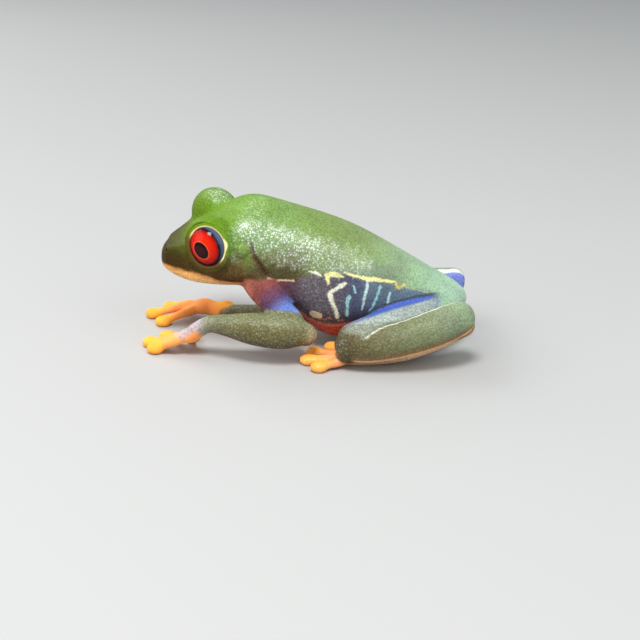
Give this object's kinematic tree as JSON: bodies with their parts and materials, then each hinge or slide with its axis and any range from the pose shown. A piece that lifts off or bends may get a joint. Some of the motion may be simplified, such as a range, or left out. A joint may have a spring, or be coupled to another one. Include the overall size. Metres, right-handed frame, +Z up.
{
  "type": "red-eyed tree frog",
  "caption": "Life-size still model of a red-eyed tree frog, alert on all fours with its hind legs folded, hands reaching forward and toe discs flat on the ground.",
  "frame": {"origin": "on the ground, under the middle of the frog's bounding box", "axes": "-Y towards the snout, +X to the frog's left, +Z up"},
  "size_m": [0.0225, 0.0365, 0.016],
  "materials": {
    "green_skin": "moist, finely granular",
    "olive_skin": "moist, finely granular",
    "blue_skin": "moist, smooth",
    "orange_skin": "moist, smooth",
    "red_eye": "wet and glossy"
  },
  "bodies": {
    "root": {"head": "green_skin", "torso": "green_skin", "eye_left": "red_eye", "eye_right": "red_eye", "upper_arm_left": "blue_skin", "upper_arm_right": "blue_skin", "forearm_left": "olive_skin", "forearm_right": "olive_skin", "hand_left": "orange_skin", "hand_right": "orange_skin", "thigh_left": "blue_skin", "thigh_right": "blue_skin", "shank_left": "olive_skin", "shank_right": "olive_skin", "foot_left": "orange_skin", "foot_right": "orange_skin"}
  },
  "joints": []
}
